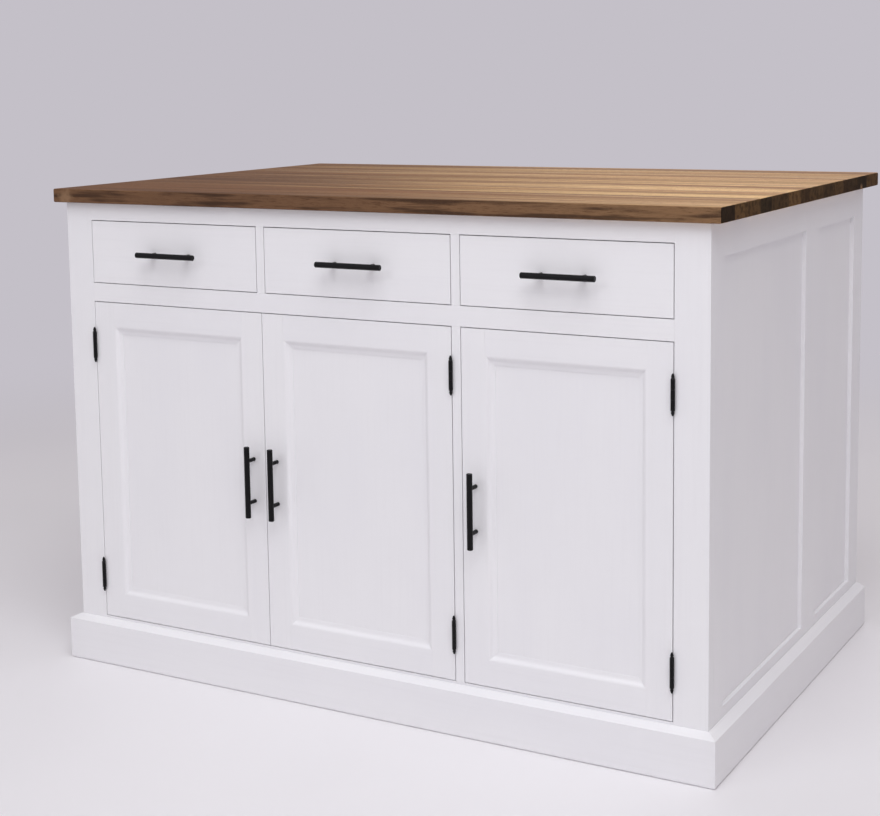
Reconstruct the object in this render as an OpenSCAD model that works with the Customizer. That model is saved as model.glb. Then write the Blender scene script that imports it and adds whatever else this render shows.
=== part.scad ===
// Kitchen island unit: a painted timber body with three drawers over three
// doors, under a stained timber worktop.
// Origin: middle of the footprint, at the floor. +X along the front, to the
// right of someone who faces the doors; +Y from the front to the back; +Z up.

/* [Body] */
// Width of the painted body, across the two side frames
body_w = 1260; // [1100:5:1600]
// Depth of the painted body, front face to back face
body_d = 850; // [800:5:1000]
// Height of the whole unit, floor to top of worktop
unit_h = 900; // [860:5:960]

/* [Worktop] */
// Thickness of the worktop
top_t = 25; // [18:1:40]
// How far the worktop reaches past each side frame
top_over_side = 20; // [5:1:40]
// How far the worktop reaches past the front face
top_over_front = 14; // [5:1:40]
// How far the worktop reaches past the back face
top_over_back = 36; // [5:1:60]
// Easing cut along the worktop's long top edges
top_ease = 1.5; // [0.5:0.5:4]

/* [Plinth] */
// Height of the plinth boards
plinth_h = 85; // [70:1:110]
// Thickness of the plinth boards
plinth_t = 18; // [14:1:24]
// Height of the slope along the plinth's top edge
plinth_slope_h = 7; // [4:1:20]
// Width of the flat left on top of the plinth, against the body
plinth_flat = 3; // [1:1:8]
// Bevel along the plinth's lower outer edge
plinth_foot = 3; // [1:0.5:6]

/* [Face frame] */
// Thickness of the face frame
face_t = 22; // [18:1:28]
// Width of the two outer face stiles
stile_w = 58; // [50:1:80]
// Width of the drawer muntins and of the stile between the doors
muntin_w = 16; // [14:1:40]
// Height of the top rail over the drawers
top_rail_h = 32; // [28:1:60]
// Height of the rail between drawers and doors
mid_rail_h = 34; // [30:1:60]
// Height of the rail under the doors
bottom_rail_h = 60; // [50:1:70]
// How much of the bottom rail shows over the plinth
bottom_reveal = 4; // [2:1:20]
// Gap all round each door and drawer front
gap = 1.5; // [1.5:0.5:4]

/* [Side and back frames] */
// Thickness of the side frames
side_t = 22; // [20:1:28]
// Thickness of the back frame
back_t = 22; // [20:1:28]
// Width of the side frames' end stiles
side_stile_w = 38; // [36:1:60]
// Width of the side frames' middle stile
side_mid_w = 75; // [60:1:100]
// Width of the wider side panel, at the front
side_panel_w = 422; // [300:1:480]
// Height of the top rails of the side and back frames
side_top_h = 55; // [45:1:90]
// Height of the bottom rails of the side frames
side_bottom_h = 80; // [60:1:90]
// How much of the side frames' bottom rails shows over the plinth
side_reveal = 18; // [10:1:60]
// Width of the back frame's end stiles
back_stile_w = 60; // [50:1:90]
// Clearance between the back frame's bottom rail and the floor
back_foot = 5; // [2:1:20]

/* [Frame joinery] */
// Width of the moulding round each door panel
mould_w = 16; // [6:1:20]
// Height of the square lip at the moulding's inner edge
mould_lip = 1; // [0.5:0.5:2]
// Depth of the panels behind the face of their frames
panel_recess = 7; // [4:1:8]
// Thickness of the panels
panel_t = 8; // [6:1:9]
// How far a panel reaches into its groove
panel_tongue = 8; // [5:1:9]
// Room left beyond the panel's edge in its groove
panel_play = 1; // [0.5:0.5:2]
// Length of the rails' tenons
tenon_l = 25; // [15:1:28]
// Thickness of the rails' tenons
tenon_t = 8; // [6:1:10]
// Shoulder left above and below each tenon
tenon_shoulder = 10; // [10:1:12]

/* [Doors] */
// Thickness of the doors
door_t = 22; // [18:1:24]
// Face width of the doors' stiles
door_stile_w = 43; // [40:1:80]
// Face height of the doors' rails
door_rail_h = 43; // [40:1:90]

/* [Hinges] */
// Height of the hinge leaves and of the barrel between the finials
leaf_h = 46; // [36:1:60]
// How far the leaves reach back from the face
leaf_d = 16; // [10:1:17]
// Thickness of the leaves
leaf_t = 1.2; // [1:0.1:1.4]
// How deep each leaf is let into the wood
leaf_sink = 0.8; // [0.8:0.1:1]
// Diameter of the hinge barrel
barrel_d = 7; // [6:0.5:9]
// Diameter of the hinge pin
hinge_pin_d = 3.5; // [2.5:0.5:4]
// Clearance between the barrel and the face of the unit
barrel_clear = 0.3; // [0.3:0.1:1]
// Gap between two knuckles
knuckle_gap = 0.5; // [0.3:0.1:1]
// Clearance of the door's knuckle round the pin
hinge_play = 0.05; // [0.02:0.01:0.1]
// Height of each finial
finial_h = 10; // [6:1:14]
// Distance from the door's top and bottom edge to the middle of a hinge
hinge_inset = 80; // [60:1:160]

/* [Pulls] */
// Distance from a door's free edge to the middle of its pull
pull_inset = 24; // [20:1:30]
// Length of the pull's bar
bar_l = 128; // [110:1:200]
// Diameter of the pull's bar
bar_d = 10; // [9:0.5:14]
// Distance between the two posts
post_pitch = 76; // [64:1:96]
// Diameter of the posts
post_d = 7; // [6:0.5:8]
// Distance from the face to the bar's middle line
pull_standoff = 22; // [18:1:40]
// Bevel at the ends of the bar
bar_ease = 0.8; // [0.4:0.1:1.5]
// Diameter of the pull screws
screw_d = 4; // [3:0.5:4]
// How far a screw reaches into its post
screw_grip = 12; // [8:1:14]
// Diameter of the screw heads
screw_head_d = 8; // [7:0.5:10]
// Thickness of the screw heads
screw_head_t = 2.5; // [1.5:0.5:3]
// Radial clearance of the screws in the wood
screw_play = 0.3; // [0.2:0.1:0.5]

/* [Drawers] */
// Height of the drawer fronts
drawer_front_h = 114; // [100:1:130]
// Thickness of the drawer fronts
drawer_front_t = 22; // [18:1:24]
// Depth of the drawer boxes behind their fronts
box_d = 560; // [400:5:640]
// Height of the drawer boxes
box_h = 100; // [80:1:104]
// Thickness of the boards of the drawer boxes
box_t = 12; // [10:1:16]
// Clearance between a drawer box and the guides at each side
box_side_gap = 3; // [3:0.5:6]
// Thickness of the drawer bottoms
bottom_t = 6; // [4:1:8]
// Height of the drawer bottoms over the boxes' lower edge
bottom_lift = 10; // [8:1:20]
// How far the drawer bottoms reach into their grooves
bottom_tongue = 5; // [3:1:7]

/* [Drawer runners] */
// Thickness of the board under the drawers
drawer_floor_t = 12; // [9:1:18]
// Height of the runner strips
runner_h = 14; // [10:1:20]
// Width of the runner strips
runner_w = 25; // [18:1:40]
// Clearance between a drawer box and its runner strips
runner_gap = 0.3; // [0.3:0.1:1]
// Height of the guides beside the outer drawers
guide_h = 60; // [40:1:90]
// Width of the kicker over each drawer
kicker_w = 50; // [30:1:80]
// Clearance between a drawer box and the kicker over it
kicker_gap = 2; // [1:0.5:4]
// Width and depth of the back stops
stop_w = 40; // [20:1:60]
// Height of the back stops
stop_h = 45; // [30:1:60]

/* [Carcass] */
// Thickness of the cabinet floor
floor_t = 18; // [15:1:22]
// Side of the square floor blocks
block_w = 45; // [30:1:60]
// Thickness of the rails under the worktop
top_bar_t = 22; // [18:1:24]
// Width of the rails under the worktop
top_bar_w = 60; // [40:1:90]
// Thickness of the shelves
shelf_t = 18; // [15:1:25]
// Height of the shelves' undersides
shelf_z = 380; // [300:5:480]
// Clearance round the shelves
shelf_play = 2; // [1:0.5:4]
// Distance from the back of the doors to the shelves
shelf_setback = 8; // [6:1:15]
// Diameter of the shelf pins
shelf_pin_d = 5; // [4:0.5:6]
// How far a shelf pin goes into the wood
shelf_pin_in = 7; // [5:1:7]
// How far a shelf pin stands out of the wood
shelf_pin_out = 9; // [7:1:15]

/* [Fixings and catches] */
// Length of a worktop screw inside the worktop
top_screw_grip = 15; // [10:1:16]
// Diameter of the worktop screws
top_screw_d = 5; // [4:0.5:6]
// Diameter of the worktop screws' heads
top_screw_head_d = 10; // [8:0.5:12]
// Thickness of the worktop screws' heads
top_screw_head_t = 3; // [2:0.5:4]
// Distance from a drawer's middle to its worktop screws
top_screw_x = 90; // [60:5:120]
// Width of the door catches
catch_w = 36; // [20:1:50]
// Depth of the door catches
catch_d = 16; // [10:1:24]
// How far the catches reach below the top of the doors
catch_drop = 22; // [14:1:30]
// Distance from a door's free edge to the middle of its catch
catch_inset = 40; // [30:1:60]
// Thickness of the strike plates
strike_t = 1.5; // [1:0.5:2]
// Height of the strike plates
strike_h = 16; // [10:1:20]
// Clearance between a catch and its strike plate
catch_gap = 0.3; // [0.3:0.1:1]

/* [Hidden] */
$fn = 48;
white = [0.86, 0.85, 0.87];
stain = [0.47, 0.33, 0.22];
bare = [0.78, 0.66, 0.48];
black = [0.12, 0.11, 0.12];
steel = [0.7, 0.7, 0.72];

// Overshoot of cutting tools past the faces that they cut
over = 1;

// Places across the front
inner_w = body_w - 2 * stile_w;
bay_w = (inner_w - 2 * muntin_w) / 3;
function bay_x(i) = (i - 1) * (bay_w + muntin_w);
mid_x = (bay_x(1) + bay_x(2)) / 2;
side_in = body_w / 2 - side_t;

// Places from front to back: the footprint runs from the pulls to the worktop's back edge
front_reach = max(pull_standoff + bar_d / 2, plinth_t, top_over_front);
unit_d = front_reach + body_d + top_over_back;
face_y = front_reach - unit_d / 2;
inner_y0 = face_y + face_t;
back_y = face_y + body_d;
inner_y1 = back_y - back_t;

// Heights
body_h = unit_h - top_t;
drawer_z1 = body_h - top_rail_h;
drawer_z0 = drawer_z1 - drawer_front_h - 2 * gap;
door_open_z1 = drawer_z0 - mid_rail_h;
door_open_z0 = plinth_h + bottom_reveal;
door_z0 = door_open_z0 + gap;
door_z1 = door_open_z1 - gap;
box_z0 = drawer_z0 + gap;
pull_z = (drawer_z0 + drawer_z1) / 2;
runner_z0 = box_z0 - runner_gap - runner_h;
drawer_floor_z0 = runner_z0 - drawer_floor_t;
top_bar_z0 = body_h - top_bar_t;
floor_z0 = door_open_z0 - floor_t;
face_rail_z = [
    [drawer_z1, body_h],
    [door_open_z1, drawer_z0],
    [door_open_z0 - bottom_rail_h, door_open_z0]
];

// Drawer boxes
box_w = bay_w - 2 * box_side_gap;
box_y0 = face_y + drawer_front_t;

// Doors: left edge, width, pin place and the side of the pin that the frame is on
pair_w = (2 * bay_w + muntin_w - 3 * gap) / 2;
door_w = [pair_w, pair_w, bay_w - 2 * gap];
door_x = [gap - inner_w / 2, 2 * gap + pair_w - inner_w / 2, mid_x + muntin_w / 2 + gap];
frame_side = [-1, 1, 1];
pin_x = [(gap - inner_w) / 2, mid_x - (muntin_w + gap) / 2, (inner_w - gap) / 2];
function free_x(i, inset) = frame_side[i] < 0 ? door_x[i] + door_w[i] - inset : door_x[i] + inset;

// Hinges
pin_back = barrel_d / 2 + barrel_clear;
pin_y = face_y - pin_back;
leaf_x0 = gap / 2 + leaf_sink - leaf_t;
knuckle_h = (leaf_h - 2 * knuckle_gap) / 3;
hinge_z = [door_z0 + hinge_inset, door_z1 - hinge_inset];
// Outline of a finial: collar, neck, swell and tip, in barrel radii and finial heights
finial_outline = [[0, 0], [1, 0], [1, 0.15], [0.6, 0.3], [0.85, 0.5], [0.35, 1], [0, 1]];

// Outline of a door's moulding, an ogee from the face down to the lip, in widths and depths
mould_outline = [
    [0, 0],
    [0.14, 0.04],
    [0.27, 0.16],
    [0.37, 0.4],
    [0.45, 0.66],
    [0.56, 0.84],
    [0.73, 0.95],
    [1, 1]
];

// Panel openings [left, right, bottom, top] in the plane of their frame
groove = panel_tongue + panel_play;
side_u0 = inner_y0 + side_stile_w;
side_u1 = inner_y1 - side_stile_w;
side_v0 = plinth_h + side_reveal;
side_v1 = body_h - side_top_h;
side_open = [
    [side_u0, side_u0 + side_panel_w, side_v0, side_v1],
    [side_u0 + side_panel_w + side_mid_w, side_u1, side_v0, side_v1]
];
back_panel_w = (body_w - 2 * back_stile_w - 2 * side_mid_w) / 3;
function back_u(i) = back_stile_w - body_w / 2 + i * (back_panel_w + side_mid_w);
back_open = [for (i = [0:2]) [back_u(i), back_u(i) + back_panel_w, side_v0, side_v1]];
function door_open(i) = [
    door_x[i] + door_stile_w,
    door_x[i] + door_w[i] - door_stile_w,
    door_z0 + door_rail_h,
    door_z1 - door_rail_h
];

// Shelf pins stand in the middle of the side frames' end stiles
shelf_pin_y = [inner_y0 + side_stile_w / 2, inner_y1 - side_stile_w / 2];
shelf_pin_z = shelf_z - shelf_pin_d / 2;

// Stiles [left, right] in the plane of their frame
side_stiles_u = [[inner_y0, side_u0], [side_open[0][1], side_open[1][0]], [side_u1, inner_y1]];
back_stiles_u = [for (i = [0:3]) [
    i == 0 ? -body_w / 2 : back_open[i - 1][1],
    i == 3 ? body_w / 2 : back_open[i][0]
]];
function door_stiles_u(i) = [
    [door_x[i], door_x[i] + door_stile_w],
    [door_x[i] + door_w[i] - door_stile_w, door_x[i] + door_w[i]]
];

// ---- shapes shared by the frames ----

// Board in the plane of a frame: left, right, bottom, top, thickness
module board(u0, u1, v0, v1, t) {
    translate([u0, 0, v0]) cube([u1 - u0, t, v1 - v0]);
}

// Upright length of moulding, mitred at both ends, fixed along its left edge
module moulding(length) {
    depth = panel_recess - mould_lip;
    intersection() {
        linear_extrude(length) polygon(concat(
            [for (p = mould_outline) [p[0] * mould_w, p[1] * depth]],
            [[mould_w, panel_recess], [0, panel_recess]]
        ));
        rotate([90, 0, 0]) translate([0, 0, -panel_recess]) linear_extrude(panel_recess) polygon([
            [0, 0],
            [mould_w, mould_w],
            [mould_w, length - mould_w],
            [0, length]
        ]);
    }
}

// Moulding on the stile at the left (side 0) or right (side 1) of an opening
module stile_moulding(o, side) {
    translate([o[side], 0, o[2]]) mirror([side, 0, 0]) moulding(o[3] - o[2]);
}

// Moulding on the rail under (side 0) or over (side 1) an opening
module rail_moulding(o, side) {
    translate([o[0], 0, o[2 + side]]) mirror([0, 0, 1 - side]) rotate([0, 90, 0]) moulding(o[1] - o[0]);
}

// Slab that fills an opening and reaches past its edges: the groove or the panel
module panel_slab(o, reach) {
    translate([o[0] - reach, panel_recess, o[2] - reach])
        cube([o[1] - o[0] + 2 * reach, panel_t, o[3] - o[2] + 2 * reach]);
}

// Tenons at both ends of a rail, centred in its thickness
module tenons(u0, u1, v0, v1, t) {
    translate([u0 - tenon_l, (t - tenon_t) / 2, v0 + tenon_shoulder])
        cube([u1 - u0 + 2 * tenon_l, tenon_t, v1 - v0 - 2 * tenon_shoulder]);
}

// Rail with its tenons
module tenoned_rail(u0, u1, v0, v1, t) {
    board(u0, u1, v0, v1, t);
    tenons(u0, u1, v0, v1, t);
}

// Stiles of a frame, from the height v0 up, mortised for rails that start at v_low
module frame_stiles(spans, openings, v0, v_low, v_high, t) {
    difference() {
        for (s = spans) board(s[0], s[1], v0, v_high, t);
        for (o = openings) {
            panel_slab(o, groove);
            tenons(o[0], o[1], v_low, o[2], t);
            tenons(o[0], o[1], o[3], v_high, t);
        }
    }
}

// Rails under and over each opening of a frame
module frame_rails(openings, v_low, v_high, t) {
    for (o = openings) difference() {
        union() {
            tenoned_rail(o[0], o[1], v_low, o[2], t);
            tenoned_rail(o[0], o[1], o[3], v_high, t);
        }
        panel_slab(o, groove);
    }
}

// Puts a shape modelled like a front onto the right and the left side of the body
module on_both_sides() {
    for (s = [0, 1]) mirror([s, 0, 0]) translate([body_w / 2, 0, 0]) rotate([0, 0, 90]) children();
}

// Puts a shape modelled like a front onto the front or the back of the body
module on_front() {
    translate([0, face_y, 0]) children();
}

module on_back() {
    translate([0, back_y, 0]) mirror([0, 1, 0]) children();
}

// ---- worktop ----

module top_screw_places() {
    for (i = [0:2], y = [inner_y0 + top_bar_w / 2, inner_y1 - top_bar_w / 2])
        translate([bay_x(i) + top_screw_x, y, 0]) children();
}

module worktop() {
    top_w = body_w + 2 * top_over_side;
    y0 = face_y - top_over_front;
    y1 = back_y + top_over_back;
    color(stain) difference() {
        translate([-top_w / 2, 0, 0]) rotate([90, 0, 90]) linear_extrude(top_w) polygon([
            [y0, body_h],
            [y1, body_h],
            [y1, unit_h - top_ease],
            [y1 - top_ease, unit_h],
            [y0 + top_ease, unit_h],
            [y0, unit_h - top_ease]
        ]);
        top_screw_places() translate([0, 0, body_h - over])
            cylinder(h = top_screw_grip + over, d = top_screw_d);
    }
}

module worktop_rails() {
    color(bare) difference() {
        for (y = [inner_y0, inner_y1 - top_bar_w])
            translate([-side_in, y, top_bar_z0]) cube([2 * side_in, top_bar_w, top_bar_t]);
        top_screw_places() translate([0, 0, top_bar_z0 - over])
            cylinder(h = top_bar_t + 2 * over, r = top_screw_d / 2 + screw_play);
    }
}

module worktop_screws() {
    color(steel) top_screw_places() {
        translate([0, 0, top_bar_z0 - top_screw_head_t])
            cylinder(h = top_screw_head_t, d = top_screw_head_d);
        translate([0, 0, top_bar_z0]) cylinder(h = top_bar_t + top_screw_grip, d = top_screw_d);
    }
}

// ---- face frame ----

// Pockets for the hinge leaves beside door i, on one side of the pin
module leaf_pockets(i, side) {
    for (z = hinge_z)
        translate([pin_x[i], pin_y, z - leaf_h / 2]) leaf_plate(side, pin_back - over, leaf_h);
}

module face_stiles() {
    color(white) difference() {
        on_front() difference() {
            union() {
                for (s = [0, 1]) mirror([s, 0, 0]) board(inner_w / 2, body_w / 2, 0, body_h, face_t);
                for (s = [-1, 1]) translate([s * mid_x, 0, 0])
                    board(-muntin_w / 2, muntin_w / 2, drawer_z0, drawer_z1, face_t);
                translate([mid_x, 0, 0])
                    board(-muntin_w / 2, muntin_w / 2, door_open_z0, door_open_z1, face_t);
            }
            for (z = face_rail_z) tenons(-inner_w / 2, inner_w / 2, z[0], z[1], face_t);
        }
        for (i = [0:2]) leaf_pockets(i, frame_side[i]);
    }
}

module face_rails() {
    color(white) on_front()
        for (z = face_rail_z) tenoned_rail(-inner_w / 2, inner_w / 2, z[0], z[1], face_t);
}

// ---- side and back frames ----

module side_stiles() {
    color(white) on_both_sides() difference() {
        frame_stiles(side_stiles_u, side_open, 0, side_v0 - side_bottom_h, body_h, side_t);
        for (y = shelf_pin_y) translate([y, side_t + over, shelf_pin_z])
            rotate([90, 0, 0]) cylinder(h = shelf_pin_in + over, d = shelf_pin_d);
    }
}

module side_rails() {
    color(white) on_both_sides() frame_rails(side_open, side_v0 - side_bottom_h, body_h, side_t);
}

module back_stiles() {
    color(white) on_back() frame_stiles(back_stiles_u, back_open, 0, back_foot, body_h, back_t);
}

module back_rails() {
    color(white) on_back() frame_rails(back_open, back_foot, body_h, back_t);
}

module body_panels() {
    color(white) {
        on_both_sides() for (o = side_open) panel_slab(o, panel_tongue);
        on_back() for (o = back_open) panel_slab(o, panel_tongue);
    }
}

// ---- plinth ----

// Section of a plinth board: its back at 0, its face at plinth_t
module plinth_section() {
    polygon([
        [0, 0],
        [plinth_t - plinth_foot, 0],
        [plinth_t, plinth_foot],
        [plinth_t, plinth_h - plinth_slope_h],
        [plinth_flat, plinth_h],
        [0, plinth_h]
    ]);
}

module plinth_front() {
    half = body_w / 2;
    color(white) intersection() {
        translate([-half - plinth_t, face_y, 0]) mirror([0, 1, 0]) rotate([90, 0, 90])
            linear_extrude(body_w + 2 * plinth_t) plinth_section();
        linear_extrude(plinth_h) polygon([
            [-half, face_y],
            [-half - plinth_t, face_y - plinth_t],
            [half + plinth_t, face_y - plinth_t],
            [half, face_y]
        ]);
    }
}

module plinth_sides() {
    half = body_w / 2;
    color(white) for (s = [0, 1]) mirror([s, 0, 0]) intersection() {
        translate([half, back_y, 0]) rotate([90, 0, 0])
            linear_extrude(body_d + plinth_t) plinth_section();
        linear_extrude(plinth_h) polygon([
            [half, face_y],
            [half + plinth_t, face_y - plinth_t],
            [half + plinth_t, back_y],
            [half, back_y]
        ]);
    }
}

// ---- carcass ----

// Board of the carcass that runs from the face frame to the back frame
module deep_board(x0, x1, z0, z1) {
    translate([x0, inner_y0, z0]) cube([x1 - x0, inner_y1 - inner_y0, z1 - z0]);
}

module cabinet_floor() {
    color(bare) deep_board(-side_in, side_in, floor_z0, door_open_z0);
}

module floor_blocks() {
    color(bare) for (x = [-side_in, -block_w / 2, side_in - block_w], y = [inner_y0, inner_y1 - block_w])
        translate([x, y, 0]) cube([block_w, block_w, floor_z0]);
}

// Shelf pins of one face: x is the face, side is the way that they stand out of it
module face_pins(x, side, length_in, length_out) {
    for (y = shelf_pin_y) translate([x - side * length_in, y, shelf_pin_z])
        rotate([0, side * 90, 0]) cylinder(h = length_in + length_out, d = shelf_pin_d);
}

module cupboard_partition() {
    color(bare) difference() {
        deep_board(mid_x - muntin_w / 2, mid_x + muntin_w / 2, door_open_z0, drawer_floor_z0);
        for (s = [-1, 1]) face_pins(mid_x + s * muntin_w / 2, s, shelf_pin_in, over);
    }
}

module shelf_pins() {
    color(steel) for (s = [-1, 1]) {
        face_pins(mid_x + s * muntin_w / 2, s, shelf_pin_in, shelf_pin_out);
        face_pins(s * side_in, -s, shelf_pin_in, shelf_pin_out);
    }
}

// Shelf between two uprights
module shelf(x0, x1) {
    y0 = face_y + door_t + shelf_setback;
    translate([x0 + shelf_play, y0, shelf_z])
        cube([x1 - x0 - 2 * shelf_play, inner_y1 - shelf_play - y0, shelf_t]);
}

module shelves() {
    color(bare) {
        shelf(-side_in, mid_x - muntin_w / 2);
        shelf(mid_x + muntin_w / 2, side_in);
    }
}

// ---- drawer runners ----

module drawer_floor() {
    color(bare) deep_board(-side_in, side_in, drawer_floor_z0, runner_z0);
}

// Partitions between the drawers, and guides outside the outer ones
module drawer_dividers() {
    color(bare) for (s = [0, 1]) mirror([s, 0, 0]) {
        deep_board(mid_x - muntin_w / 2, mid_x + muntin_w / 2, runner_z0, top_bar_z0);
        deep_board(inner_w / 2, side_in, runner_z0, runner_z0 + guide_h);
    }
}

// Strips that the drawers slide on, and the stops behind the drawers
module drawer_runners() {
    color(bare) for (i = [0:2]) translate([bay_x(i), 0, 0]) {
        for (s = [0, 1]) mirror([s, 0, 0])
            deep_board(bay_w / 2 - runner_w, bay_w / 2, runner_z0, runner_z0 + runner_h);
        translate([-stop_w / 2, face_y + drawer_front_t + box_d, runner_z0])
            cube([stop_w, stop_w, stop_h]);
    }
}

module drawer_kickers() {
    color(bare) for (i = [0:2]) translate([bay_x(i), 0, 0])
        deep_board(-kicker_w / 2, kicker_w / 2, box_z0 + box_h + kicker_gap, top_bar_z0);
}

// ---- hinges ----

// Leaf plate on one side (-1 or 1) of the pin's axis, from y0 behind the axis
module leaf_plate(side, y0, height) {
    translate([side > 0 ? leaf_x0 : -leaf_x0 - leaf_t, y0, 0])
        cube([leaf_t, pin_back + leaf_d - y0, height]);
}

// Leaf with knuckles at the given places, bored for the pin
module hinge_leaf(side, places, bore_d) {
    difference() {
        translate([0, 0, -leaf_h / 2]) {
            leaf_plate(side, pin_back, leaf_h);
            for (p = places) translate([0, 0, p * (knuckle_h + knuckle_gap)]) {
                cylinder(h = knuckle_h, d = barrel_d);
                leaf_plate(side, 0, knuckle_h);
            }
        }
        translate([0, 0, -leaf_h / 2 - over]) cylinder(h = leaf_h + 2 * over, d = bore_d);
    }
}

module hinge_frame_leaves() {
    color(black) for (i = [0:2], z = hinge_z)
        translate([pin_x[i], pin_y, z]) hinge_leaf(frame_side[i], [0, 2], hinge_pin_d);
}

module door_hinge_leaves(i) {
    color(black) for (z = hinge_z)
        translate([pin_x[i], pin_y, z]) hinge_leaf(-frame_side[i], [1], hinge_pin_d + 2 * hinge_play);
}

// Turned finial, its base at 0 and its tip up
module finial() {
    rotate_extrude() polygon([for (p = finial_outline) [p[0] * barrel_d / 2, p[1] * finial_h]]);
}

module hinge_pins() {
    color(black) for (i = [0:2], z = hinge_z) translate([pin_x[i], pin_y, z]) {
        cylinder(h = leaf_h, d = hinge_pin_d, center = true);
        for (s = [0, 1]) mirror([0, 0, s]) translate([0, 0, leaf_h / 2]) finial();
    }
}

// ---- pulls ----

// Places of the two posts, along X
module post_places() {
    for (s = [-1, 1]) translate([s * post_pitch / 2, 0, 0]) children();
}

// Pull with its bar along X and its posts' feet on the plane y = 0
module pull() {
    r = bar_d / 2;
    translate([-bar_l / 2, -pull_standoff, 0]) rotate([0, 90, 0]) rotate_extrude() polygon([
        [0, 0],
        [r - bar_ease, 0],
        [r, bar_ease],
        [r, bar_l - bar_ease],
        [r - bar_ease, bar_l],
        [0, bar_l]
    ]);
    post_places() difference() {
        rotate([90, 0, 0]) cylinder(h = pull_standoff, d = post_d);
        translate([0, over, 0]) rotate([90, 0, 0]) cylinder(h = screw_grip + over, d = screw_d);
    }
}

// Screws of a pull, with their heads against the back of wood of thickness t
module pull_screws(t) {
    post_places() {
        translate([0, t, 0]) rotate([90, 0, 0]) cylinder(h = t + screw_grip, d = screw_d);
        translate([0, t + screw_head_t, 0]) rotate([90, 0, 0]) cylinder(h = screw_head_t, d = screw_head_d);
    }
}

// Clearance holes of a pull's screws through wood of thickness t
module screw_holes(t) {
    post_places() translate([0, t + over, 0]) rotate([90, 0, 0])
        cylinder(h = t + 2 * over, r = screw_d / 2 + screw_play);
}

// Puts a pull's shapes upright at the pull of door i
module at_door_pull(i) {
    translate([free_x(i, pull_inset), face_y, (door_z0 + door_z1) / 2]) rotate([0, 90, 0]) children();
}

// Puts a pull's shapes at the pull of drawer i
module at_drawer_pull(i) {
    translate([bay_x(i), face_y, pull_z]) children();
}

// ---- doors: 0 left, 1 middle, 2 right ----

module door_stiles(i) {
    color(white) difference() {
        on_front() {
            frame_stiles(door_stiles_u(i), [door_open(i)], door_z0, door_z0, door_z1, door_t);
            for (side = [0, 1]) stile_moulding(door_open(i), side);
        }
        leaf_pockets(i, -frame_side[i]);
        at_door_pull(i) screw_holes(door_t);
    }
}

module door_rails(i) {
    color(white) on_front() {
        frame_rails([door_open(i)], door_z0, door_z1, door_t);
        for (side = [0, 1]) rail_moulding(door_open(i), side);
    }
}

module door_panel(i) {
    color(white) on_front() panel_slab(door_open(i), panel_tongue);
}

module door_pull(i) {
    color(black) at_door_pull(i) pull();
}

// Pull screws and the strike plate of the catch
module door_fixings(i) {
    color(steel) {
        at_door_pull(i) pull_screws(door_t);
        translate([free_x(i, catch_inset) - catch_w / 2, face_y + door_t, door_z1 - catch_drop])
            cube([catch_w, strike_t, strike_h]);
    }
}

module door_catches() {
    z0 = door_z1 - catch_drop;
    y0 = face_y + door_t + strike_t + catch_gap;
    color(white) for (i = [0:2]) translate([free_x(i, catch_inset) - catch_w / 2, y0, z0])
        cube([catch_w, catch_d, drawer_floor_z0 - z0]);
}

// ---- drawers: 0 left, 1 middle, 2 right ----

module drawer_front(i) {
    w = bay_w - 2 * gap;
    color(white) difference() {
        translate([bay_x(i) - w / 2, face_y, box_z0]) cube([w, drawer_front_t, drawer_front_h]);
        drawer_bottom_slab(i);
        at_drawer_pull(i) screw_holes(drawer_front_t);
    }
}

// Drawer bottom with its tongues, which are also the grooves for it
module drawer_bottom_slab(i) {
    w = box_w - 2 * box_t + 2 * bottom_tongue;
    translate([bay_x(i) - w / 2, box_y0 - bottom_tongue, box_z0 + bottom_lift])
        cube([w, box_d + bottom_tongue, bottom_t]);
}

module drawer_sides(i) {
    color(bare) difference() {
        translate([bay_x(i), box_y0, box_z0]) for (s = [0, 1]) mirror([s, 0, 0])
            translate([box_w / 2 - box_t, 0, 0]) cube([box_t, box_d, box_h]);
        drawer_bottom_slab(i);
    }
}

module drawer_back(i) {
    z = bottom_lift + bottom_t;
    color(bare) translate([bay_x(i) - box_w / 2 + box_t, box_y0 + box_d - box_t, box_z0 + z])
        cube([box_w - 2 * box_t, box_t, box_h - z]);
}

module drawer_bottom(i) {
    color(bare) drawer_bottom_slab(i);
}

module drawer_pull(i) {
    color(black) at_drawer_pull(i) pull();
}

module drawer_screws(i) {
    color(steel) at_drawer_pull(i) pull_screws(drawer_front_t);
}

worktop();
worktop_rails();
worktop_screws();
face_stiles();
face_rails();
side_stiles();
side_rails();
back_stiles();
back_rails();
body_panels();
plinth_front();
plinth_sides();
cabinet_floor();
floor_blocks();
cupboard_partition();
shelves();
shelf_pins();
drawer_floor();
drawer_dividers();
drawer_runners();
drawer_kickers();
hinge_frame_leaves();
hinge_pins();
door_catches();
door_stiles(0);  // left_door_stiles
door_rails(0);  // left_door_rails
door_panel(0);  // left_door_panel
door_pull(0);  // left_door_pull
door_fixings(0);  // left_door_fixings
door_hinge_leaves(0);  // left_door_hinge_leaves
door_stiles(1);  // middle_door_stiles
door_rails(1);  // middle_door_rails
door_panel(1);  // middle_door_panel
door_pull(1);  // middle_door_pull
door_fixings(1);  // middle_door_fixings
door_hinge_leaves(1);  // middle_door_hinge_leaves
door_stiles(2);  // right_door_stiles
door_rails(2);  // right_door_rails
door_panel(2);  // right_door_panel
door_pull(2);  // right_door_pull
door_fixings(2);  // right_door_fixings
door_hinge_leaves(2);  // right_door_hinge_leaves
drawer_front(0);  // left_drawer_front
drawer_sides(0);  // left_drawer_sides
drawer_back(0);  // left_drawer_back
drawer_bottom(0);  // left_drawer_bottom
drawer_pull(0);  // left_drawer_pull
drawer_screws(0);  // left_drawer_screws
drawer_front(1);  // middle_drawer_front
drawer_sides(1);  // middle_drawer_sides
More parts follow.
